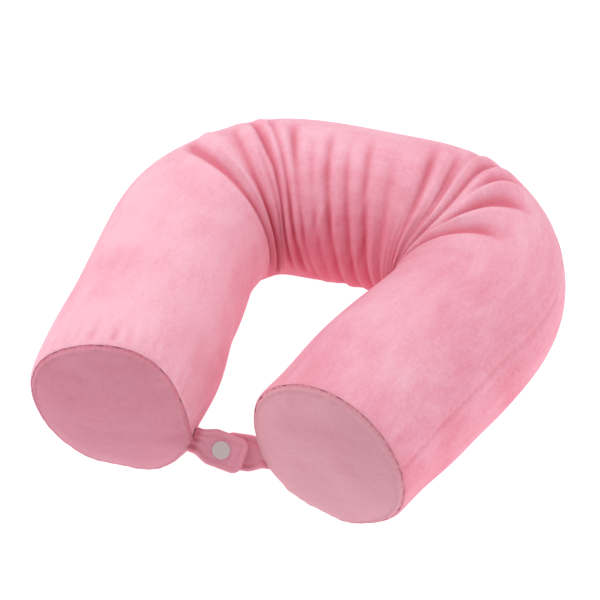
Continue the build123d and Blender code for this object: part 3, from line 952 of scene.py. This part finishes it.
def end_disc(name, place, outward, rim, tab_root, pull, finish):
    """A disc from the sleeve's rim ring to its middle."""
    spot, along, _ = on_line(np.array([place]))
    outwards = np.array([*(along[0] * outward), 0.0])
    centre = np.array([*spot[0], AXIS_HEIGHT])
    share = (1 - np.linspace(0, 1, DISC_RINGS) ** RING_EASE * HUB)[:, None]
    spoke = rim - centre
    radius = np.linalg.norm(spoke, axis=-1)[None, :]
    stand = disc_profile(share, radius) + puckers(angles[None, :], share)
    belly = BELLY * angle_bump(np.degrees(angles) % 360, BELLY_ANGLE, BELLY_SPREAD)[None, :]
    stand = stand + belly * share * (1 - share**8)
    stand[0] = 0
    dome = centre + spoke[None] * share[..., None] + outwards * stand[..., None]
    dome[1:] = draw_to(dome[1:], tab_root, pull, 0.016)
    dome[..., 2] = np.maximum(dome[..., 2], FLOOR_GAP)
    faces = grid_faces(DISC_RINGS, ROUND_POINTS, flip=outward < 0)
    hub = list(range((DISC_RINGS - 1) * ROUND_POINTS, DISC_RINGS * ROUND_POINTS))
    flat = np.stack(
        [
            share * np.cos(angles) * RADIUS,
            share * np.sin(angles) * RADIUS,
            np.full(dome.shape[:2], place * 2 + PATTERN_SHIFT),
        ],
        -1,
    )
    inset = (1 - share) * RADIUS
    # painted shade in the seam's groove, darker at each stitch
    stitch = 0.5 + 0.5 * np.sign(np.sin(angles * STITCHES))
    beside = np.exp(-(((inset - GROOVE_INSET) / STITCH_WIDTH) ** 2))
    shade = beside * (0.16 + 0.40 * stitch[None, :])
    hub = hub if outward > 0 else hub[::-1]
    faces = [*faces.tolist(), hub]
    disc = new_mesh(name, dome, faces, None, finish, cloth=flat, crease=shade)
    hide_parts(name.replace("end_panel", "end_disc"))
    return disc


left_disc = end_disc("end_panel_left", 0.0, -1, sleeve[0], left_root, LEFT_DRAW, end_velour)
right_disc = end_disc("end_panel_right", LENGTH, 1, sleeve[-1], right_root, RIGHT_DRAW, less_shaded_end_velour)
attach(left_disc, "left_arm")
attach(right_disc, "right_arm")
print("end discs:", left_disc.name, right_disc.name)

# %% [markdown]
# ## The tabs and the press fastener
# Two strips of the same velour, folded double and hemmed all round, are sewn into the rims. The left
# one lies on top and carries the fastener's round cap. Their hinges give where they lie: the line
# from root to root, and the way that they face. Each strip is a grid whose hem stands up round its
# edge, narrow at the seam, where the thread gathers it, and full at the tip.

# %% Where the tabs lie
TAB_THICKNESS = 0.0026
TAB_STACK = 0.0063            # from the face of one tab to the face of the other
TAB_GAP = 0.005               # from the seam to a tab's hinge
across_tab = Vector(peel["axis"]).normalized()
root_to_root = Vector(right_peel["pos_m"]) - Vector(peel["pos_m"])
straight = root_to_root.normalized()
leaning = across_tab.cross(straight)
dip = TAB_STACK / root_to_root.length
level = (1 - dip * dip) ** 0.5
tab_along = straight * level + leaning * dip
tab_face = leaning * level - straight * dip
cap_low, cap_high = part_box("snap_cap")
cap_middle = (Vector(cap_low) + Vector(cap_high)) / 2
cap_place = (cap_middle - Vector(peel["pos_m"])).dot(tab_along) + TAB_GAP
print("tabs run along", tuple(round(x, 2) for x in tab_along))
print("cap", round(cap_place, 4), "from the root")

# %% Tab strips
TAB_ROWS = 61
TAB_COLUMNS = 41
TAB_TUCK = 0.0020             # of a strip that runs on inside the seam
ROOT_HALF = 0.0085            # half the width at the seam
TIP_SPREAD = 0.0035           # and how much it gains from there
TIP_ROUND = 0.0065
HEM_HEIGHT = 0.00085
HEM_INSET = 0.0018
HEM_WIDTH = 0.0017
TAB_STITCH_INSET = 0.0042
TAB_PATTERN_SHIFT = 0.9       # keeps the strips' noise off the sleeve's


def deselect():
    """Nothing selected, so that an operator acts only on what comes next."""
    for obj in list(bpy.context.selected_objects):
        obj.select_set(False)


def tab_strip(name, hinge, along, length, sag, twist, turn, node, body):
    """A hemmed strip from the seam to its tip, turned a little about the fastener."""
    rows, columns = TAB_ROWS, TAB_COLUMNS
    origin = Vector(hinge["pos_m"]) - along * TAB_GAP
    run = np.linspace(-TAB_TUCK, length, rows)[:, None]
    side = np.linspace(-1, 1, columns)[None, :]
    side = np.sign(side) * np.abs(side) ** 0.85
    half = ROOT_HALF + TIP_SPREAD * ramp(run, 0.001, 0.013)
    from_tip = np.clip((length - run) / TIP_ROUND, 0, 1)
    half = half * (0.50 + 0.50 * np.sqrt(1 - (1 - from_tip) ** 2))
    from_edge = np.minimum((1 - np.abs(side)) * half, length - run + 0 * side)
    hem = HEM_HEIGHT * np.exp(-(((from_edge - HEM_INSET) / HEM_WIDTH) ** 2))
    groove = -0.0002 * np.exp(-(((from_edge - TAB_STITCH_INSET) / 0.0006) ** 2))
    round_off = np.sqrt(np.clip(1 - (1 - np.clip(from_edge / 0.0012, 0, 1)) ** 2, 0, 1))
    gather = 0.0006 * np.sin(side * 11) * np.exp(-((run / 0.006) ** 2))
    half_thick = (TAB_THICKNESS / 2 + hem + groove) * (0.25 + 0.75 * round_off)
    bend = -sag * np.sin(np.clip(run / length, 0, 1) * pi) + gather
    curl = twist * side * ramp(run, 0.3 * length, length)
    base = np.array(origin)
    ax, ac, af = (np.array(v) for v in (along, across_tab, tab_face))
    pivot = (Vector(cap_middle) - origin).dot(along)
    ahead = run - pivot + 0 * side
    aside = side * half
    run_turned = pivot + ahead * cos(turn) - aside * sin(turn)
    side_turned = ahead * sin(turn) + aside * cos(turn)
    flat = base + run_turned[..., None] * ax + side_turned[..., None] * ac
    top = flat + (bend + curl + half_thick)[..., None] * af
    bottom = flat + (bend + curl - half_thick)[..., None] * af
    points = np.stack([top, bottom])
    index = np.arange(rows * columns).reshape(rows, columns)
    quads = np.stack([index[:-1, :-1], index[1:, :-1], index[1:, 1:], index[:-1, 1:]], -1)
    quads = quads.reshape(-1, 4)
    rim = np.concatenate([index[0], index[1:, -1], index[-1, -2::-1], index[-2:0:-1, 0]])
    total = rows * columns
    after = np.roll(rim, -1)
    edge = np.stack([rim, after, after + total, rim + total], 1)
    faces = [*quads.tolist(), *(quads[:, ::-1] + total).tolist(), *edge.tolist()]
    apart = np.full((rows, columns), TAB_PATTERN_SHIFT + length)
    flat_place = np.stack([run + 0 * side, side * half, apart], -1)
    # painted shade: a faint line along the stitches and a dark band at the root, where the strip goes
    # into the seam
    stitch_shade = 0.15 * np.exp(-(((from_edge - TAB_STITCH_INSET) / 0.0005) ** 2))
    shade = stitch_shade + 0.6 * np.exp(-((run / 0.0025) ** 2))
    strip = new_mesh(
        name,
        points,
        faces,
        None,
        tab_velour,
        cloth=np.stack([flat_place] * 2),
        crease=np.stack([shade + 0 * side] * 2),
    )
    deselect()
    strip.select_set(True)
    bpy.context.view_layer.objects.active = strip
    bpy.ops.object.mode_set(mode="EDIT")
    bpy.ops.mesh.select_all(action="SELECT")
    bpy.ops.mesh.normals_make_consistent(inside=False)
    bpy.ops.object.mode_set(mode="OBJECT")
    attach(strip, body)
    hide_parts(node)
    return strip


LEFT_TAB = {"length": 0.0345, "sag": 0.0, "twist": -0.0009, "turn": 0.22}
RIGHT_TAB = {"length": 0.0305, "sag": 0.0002, "twist": 0.0, "turn": 0.0}
left_strip = tab_strip("tab_strip_left", peel, tab_along, node="tab_left", body="left_tab", **LEFT_TAB)
right_strip = tab_strip(
    "tab_strip_right", right_peel, -tab_along, node="tab_right", body="right_tab", **RIGHT_TAB
)
print("tab strips:", left_strip.name, right_strip.name)

# %% [markdown]
# ## Hard finishes
# The core is moulded nylon. The fastener has a pale moulded cap and post with plated metal between
# them, and the zip has woven tapes, nylon coils and a pressed metal slider. These keep the frame's
# own shapes.


# %% Hard materials
def moulded(name, pale, deep, roughness, grain, metal=0.0):
    """A hard finish with faint clouding and fine surface grain."""
    shop = Shop(name)
    where = shop.node("ShaderNodeTexCoord").outputs["Object"]
    clouds = shop.noise(where, 90, 3)
    fine = shop.noise(where, grain, 2)
    return shop.finish(
        Base_Color=shop.mix(clouds, deep, pale),
        Roughness=(fine - 0.5) * 0.25 + roughness,
        Metallic=metal,
        Normal=shop.bump(fine, 0.0002, 0.35),
    )


def woven(name, pale, deep):
    """A flat woven tape, with its threads as fine crossed ribs."""
    shop = Shop(name)
    where = shop.node("ShaderNodeTexCoord").outputs["Object"]
    settings = {"bands_direction": "DIAGONAL"}
    ribs = shop.node("ShaderNodeTexWave", settings, {"Vector": where, "Scale": 900.0})
    rib = Number(shop, ribs.outputs["Fac"])
    return shop.finish(
        Base_Color=shop.mix(rib, deep, pale),
        Roughness=0.92 - rib * 0.08,
        Normal=shop.bump(rib, 0.0003, 0.6),
    )


nylon = moulded("core_nylon", (0.80, 0.80, 0.78), (0.72, 0.72, 0.70), 0.42, 900)
cap_plastic = moulded("snap_pale_plastic", (0.66, 0.58, 0.575), (0.58, 0.50, 0.50), 0.38, 1200)
plated = moulded("snap_plated", (0.72, 0.71, 0.70), (0.60, 0.59, 0.58), 0.30, 700, 1.0)
tape = woven("zip_tape_weave", (0.80, 0.36, 0.46), (0.62, 0.24, 0.33))
coil = moulded("zip_coil_nylon", (0.84, 0.44, 0.54), (0.72, 0.34, 0.44), 0.38, 1500)
painted = moulded("zip_painted_metal", (0.80, 0.38, 0.48), (0.70, 0.31, 0.41), 0.32, 900, 0.6)
print("hard finishes:", [made.name for made in (nylon, cap_plastic, plated, tape, coil, painted)])

# %% Finishes on the frame's parts
HARD = (
    ("core_", nylon),
    ("snap_cap", cap_plastic),
    ("snap_post", cap_plastic),
    ("snap_s", plated),
    ("zip_tape", tape),
    ("zip_coil", coil),
    ("zip_s", painted),
    ("zip_pull", painted),
)


def finish_of(node):
    """The hard finish that a node's name asks for."""
    return next((finish for start, finish in HARD if node.startswith(start)), None)


count = 0
for obj in bpy.context.scene.objects:
    finish = finish_of(obj.name) if obj.type == "MESH" else None
    if finish:
        obj.data.materials.clear()
        obj.data.materials.append(finish)
        count += 1
print("hard finishes on", count, "parts")

# %% [markdown]
# ## The floor
# A plain white sheet under the pillow. It glows by itself, so it stays white all over, and its low
# base colour leaves only a faint shadow on it.

# %% Floor
SPREAD = 6.0
FLOOR_GREY = 0.35
FLOOR_GLOW = 0.97
floor_mesh = bpy.data.meshes.new("floor")
floor_mesh.from_pydata(
    [(-SPREAD, -SPREAD, 0), (SPREAD, -SPREAD, 0), (SPREAD, SPREAD, 0), (-SPREAD, SPREAD, 0)],
    [],
    [(0, 1, 2, 3)],
)
floor = bpy.data.objects.new("floor", floor_mesh)
bpy.context.scene.collection.objects.link(floor)
shop = Shop("floor_white")
floor_mesh.materials.append(
    shop.finish(
        Base_Color=(FLOOR_GREY, FLOOR_GREY, FLOOR_GREY, 1),
        Roughness=1.0,
        Emission_Color=(1, 1, 1, 1),
        Emission_Strength=FLOOR_GLOW,
    )
)
print("floor:", 2 * SPREAD, "m wide")
